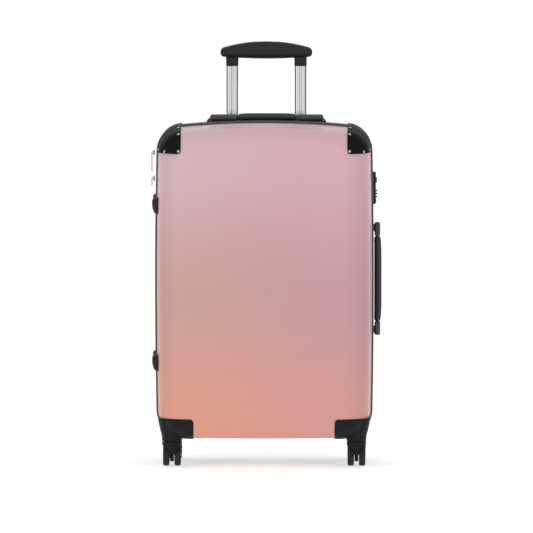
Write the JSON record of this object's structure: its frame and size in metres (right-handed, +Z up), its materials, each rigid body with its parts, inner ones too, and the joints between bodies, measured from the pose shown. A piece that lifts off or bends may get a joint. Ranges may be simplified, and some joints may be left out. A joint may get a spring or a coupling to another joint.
{
  "type": "hard shell suitcase on wheels",
  "caption": "Upright hard shell suitcase that opens like a book, with spinner casters, a telescopic trolley handle, carry handles, side feet and a combination lock.",
  "frame": {"origin": "on the floor, at the middle of the whole object's footprint", "axes": "+Z up, -Y towards the printed front, +X towards the side with the lock and the carry handle"},
  "size_m": [0.4376, 0.2622, 0.7972],
  "materials": {
    "printed_shell": "glossy printed gradient, mauve-pink above to peach below",
    "black_shell": "satin black with fine grain",
    "black_plastic": "satin black moulded plastic",
    "soft_grip": "soft-touch black",
    "tyre": "matt black",
    "aluminium": "bright drawn",
    "steel": "bright",
    "zip_tape": "woven black",
    "lining": "woven charcoal"
  },
  "bodies": {
    "back_case": {"back_shell": "black_shell", "back_zip_tape": "zip_tape", "back_lining": "lining", "hinge_gusset": "zip_tape", "corner_guard_back_left": "black_plastic", "corner_guard_back_right": "black_plastic", "wheel_housing_back_left": "black_plastic", "wheel_housing_back_right": "black_plastic", "side_foot_back_upper": "black_plastic", "side_foot_back_lower": "black_plastic", "outer_tube_left": "aluminium", "outer_tube_right": "aluminium", "trolley_bezel": "black_plastic", "trolley_base": "black_plastic", "top_handle_base": "black_plastic", "side_handle_base": "black_plastic", "lock_body": "black_plastic"},
    "front_case": {"front_shell": "printed_shell", "front_zip_tape": "zip_tape", "front_lining": "lining", "corner_guard_front_left": "black_plastic", "corner_guard_front_right": "black_plastic", "wheel_housing_front_left": "black_plastic", "wheel_housing_front_right": "black_plastic", "side_foot_front_upper": "black_plastic", "side_foot_front_lower": "black_plastic"},
    "trolley_middle": {"middle_tube_left": "aluminium", "middle_tube_right": "aluminium"},
    "trolley_inner": {"inner_tube_left": "aluminium", "inner_tube_right": "aluminium", "trolley_grip": "black_plastic"},
    "release_button": {"release_button": "black_plastic"},
    "top_handle": {"top_handle_frame": "black_plastic", "top_handle_grip": "soft_grip"},
    "side_handle": {"side_handle_frame": "black_plastic", "side_handle_grip": "soft_grip"},
    "lock_catch": {"lock_catch": "black_plastic"},
    "lock_dial_1": {"lock_dial_1": "black_plastic"},
    "lock_dial_2": {"lock_dial_2": "black_plastic"},
    "lock_dial_3": {"lock_dial_3": "black_plastic"},
    "zip_slider_upper": {"zip_slider_upper": "steel"},
    "zip_pull_upper": {"zip_pull_upper": "steel"},
    "zip_slider_lower": {"zip_slider_lower": "steel"},
    "zip_pull_lower": {"zip_pull_lower": "steel"},
    "caster_front_left": {"fork_front_left": "black_plastic", "axle_front_left": "steel"},
    "wheel_front_left_outer": {"wheel_front_left_outer": "tyre"},
    "wheel_front_left_inner": {"wheel_front_left_inner": "tyre"},
    "caster_front_right": {"fork_front_right": "black_plastic", "axle_front_right": "steel"},
    "wheel_front_right_outer": {"wheel_front_right_outer": "tyre"},
    "wheel_front_right_inner": {"wheel_front_right_inner": "tyre"},
    "caster_back_left": {"fork_back_left": "black_plastic", "axle_back_left": "steel"},
    "wheel_back_left_outer": {"wheel_back_left_outer": "tyre"},
    "wheel_back_left_inner": {"wheel_back_left_inner": "tyre"},
    "caster_back_right": {"fork_back_right": "black_plastic", "axle_back_right": "steel"},
    "wheel_back_right_outer": {"wheel_back_right_outer": "tyre"},
    "wheel_back_right_inner": {"wheel_back_right_inner": "tyre"}
  },
  "joints": [
    {"name": "case_opening", "type": "hinge", "parent": "back_case", "child": "front_case", "pos_m": [-0.21735, 0, 0.3435], "axis": [0, 0, -1], "range_deg": [0, 180]},
    {"name": "trolley_lower_stage", "type": "slide", "parent": "back_case", "child": "trolley_middle", "axis": [0, 0, 1], "range_m": [0, 0.2]},
    {"name": "trolley_upper_stage", "type": "slide", "parent": "trolley_middle", "child": "trolley_inner", "axis": [0, 0, 1], "range_m": [-0.098, 0.09]},
    {"name": "button_press", "type": "slide", "parent": "trolley_inner", "child": "release_button", "axis": [0, 0, -1], "range_m": [0, 0.003], "stiffness_N_per_m": 500, "springref_m": -0.002},
    {"name": "top_handle_lift", "type": "slide", "parent": "back_case", "child": "top_handle", "axis": [0, 0, 1], "range_m": [0, 0.012], "stiffness_N_per_m": 150, "springref_m": -0.004},
    {"name": "side_handle_pull", "type": "slide", "parent": "back_case", "child": "side_handle", "axis": [1, 0, 0], "range_m": [0, 0.012], "stiffness_N_per_m": 150, "springref_m": -0.004},
    {"name": "catch_slide", "type": "slide", "parent": "back_case", "child": "lock_catch", "axis": [0, 0, -1], "range_m": [0, 0.005], "stiffness_N_per_m": 300, "springref_m": -0.002},
    {"name": "dial_1_turn", "type": "hinge", "parent": "back_case", "child": "lock_dial_1", "pos_m": [0.20655, 0.032, 0.5053], "axis": [0, 0, 1], "continuous": true},
    {"name": "dial_2_turn", "type": "hinge", "parent": "back_case", "child": "lock_dial_2", "pos_m": [0.20655, 0.032, 0.511], "axis": [0, 0, 1], "continuous": true},
    {"name": "dial_3_turn", "type": "hinge", "parent": "back_case", "child": "lock_dial_3", "pos_m": [0.20655, 0.032, 0.5167], "axis": [0, 0, 1], "continuous": true},
    {"name": "zip_slider_upper_travel", "type": "slide", "parent": "back_case", "child": "zip_slider_upper", "axis": [0, 0, 1], "range_m": [-0.006, 0]},
    {"name": "zip_pull_upper_swing", "type": "hinge", "parent": "zip_slider_upper", "child": "zip_pull_upper", "pos_m": [-0.21735, 0, 0.59], "axis": [0, 1, 0], "range_deg": [0, 160]},
    {"name": "zip_slider_lower_travel", "type": "slide", "parent": "back_case", "child": "zip_slider_lower", "axis": [0, 0, 1], "range_m": [-0.021, 0]},
    {"name": "zip_pull_lower_swing", "type": "hinge", "parent": "zip_slider_lower", "child": "zip_pull_lower", "pos_m": [-0.21735, 0, 0.541], "axis": [0, 1, 0], "range_deg": [0, 160]},
    {"name": "caster_front_left_swivel", "type": "hinge", "parent": "front_case", "child": "caster_front_left", "pos_m": [-0.17845, -0.084, 0.05], "axis": [0, 0, 1], "continuous": true},
    {"name": "wheel_front_left_outer_spin", "type": "hinge", "parent": "caster_front_left", "child": "wheel_front_left_outer", "pos_m": [-0.17845, -0.07, 0.02173], "axis": [1, 0, 0], "continuous": true},
    {"name": "wheel_front_left_inner_spin", "type": "hinge", "parent": "caster_front_left", "child": "wheel_front_left_inner", "pos_m": [-0.17845, -0.07, 0.02173], "axis": [1, 0, 0], "continuous": true},
    {"name": "caster_front_right_swivel", "type": "hinge", "parent": "front_case", "child": "caster_front_right", "pos_m": [0.17155, -0.084, 0.05], "axis": [0, 0, 1], "continuous": true},
    {"name": "wheel_front_right_outer_spin", "type": "hinge", "parent": "caster_front_right", "child": "wheel_front_right_outer", "pos_m": [0.17155, -0.07, 0.02173], "axis": [1, 0, 0], "continuous": true},
    {"name": "wheel_front_right_inner_spin", "type": "hinge", "parent": "caster_front_right", "child": "wheel_front_right_inner", "pos_m": [0.17155, -0.07, 0.02173], "axis": [1, 0, 0], "continuous": true},
    {"name": "caster_back_left_swivel", "type": "hinge", "parent": "back_case", "child": "caster_back_left", "pos_m": [-0.17845, 0.084, 0.05], "axis": [0, 0, 1], "continuous": true},
    {"name": "wheel_back_left_outer_spin", "type": "hinge", "parent": "caster_back_left", "child": "wheel_back_left_outer", "pos_m": [-0.17845, 0.098, 0.02173], "axis": [1, 0, 0], "continuous": true},
    {"name": "wheel_back_left_inner_spin", "type": "hinge", "parent": "caster_back_left", "child": "wheel_back_left_inner", "pos_m": [-0.17845, 0.098, 0.02173], "axis": [1, 0, 0], "continuous": true},
    {"name": "caster_back_right_swivel", "type": "hinge", "parent": "back_case", "child": "caster_back_right", "pos_m": [0.17155, 0.084, 0.05], "axis": [0, 0, 1], "continuous": true},
    {"name": "wheel_back_right_outer_spin", "type": "hinge", "parent": "caster_back_right", "child": "wheel_back_right_outer", "pos_m": [0.17155, 0.098, 0.02173], "axis": [1, 0, 0], "continuous": true},
    {"name": "wheel_back_right_inner_spin", "type": "hinge", "parent": "caster_back_right", "child": "wheel_back_right_inner", "pos_m": [0.17155, 0.098, 0.02173], "axis": [1, 0, 0], "continuous": true}
  ]
}
